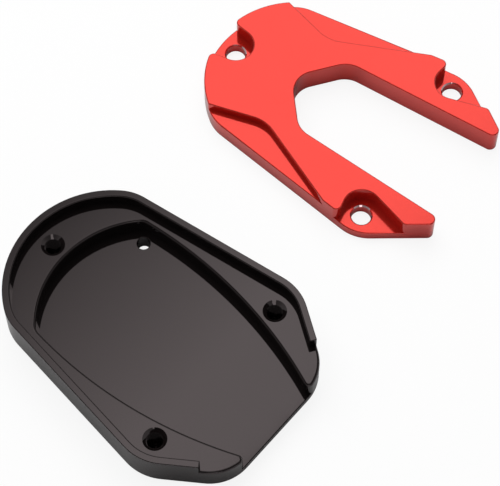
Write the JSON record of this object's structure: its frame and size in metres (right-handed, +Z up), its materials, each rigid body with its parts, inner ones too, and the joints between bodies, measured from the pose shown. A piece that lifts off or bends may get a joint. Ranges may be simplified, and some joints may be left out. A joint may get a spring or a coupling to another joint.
{
  "type": "kickstand foot enlarger",
  "caption": "Side stand foot enlarger in two plates laid apart: a deep base plate with a foot pocket, and a U-shaped clamp plate that screws down into it.",
  "frame": {"origin": "on the base plate's underside, halfway along its axis of symmetry", "axes": "+Z up, out of the base plate's open top; +X along its axis of symmetry towards its open end; +Y towards the clamp plate that lies beside it"},
  "size_m": [0.0883, 0.146, 0.014],
  "materials": {
    "anodised_black": "satin black anodised",
    "anodised_red": "satin red anodised"
  },
  "bodies": {
    "root": {"base_plate": "anodised_black", "clamp_plate": "anodised_red"}
  },
  "joints": []
}
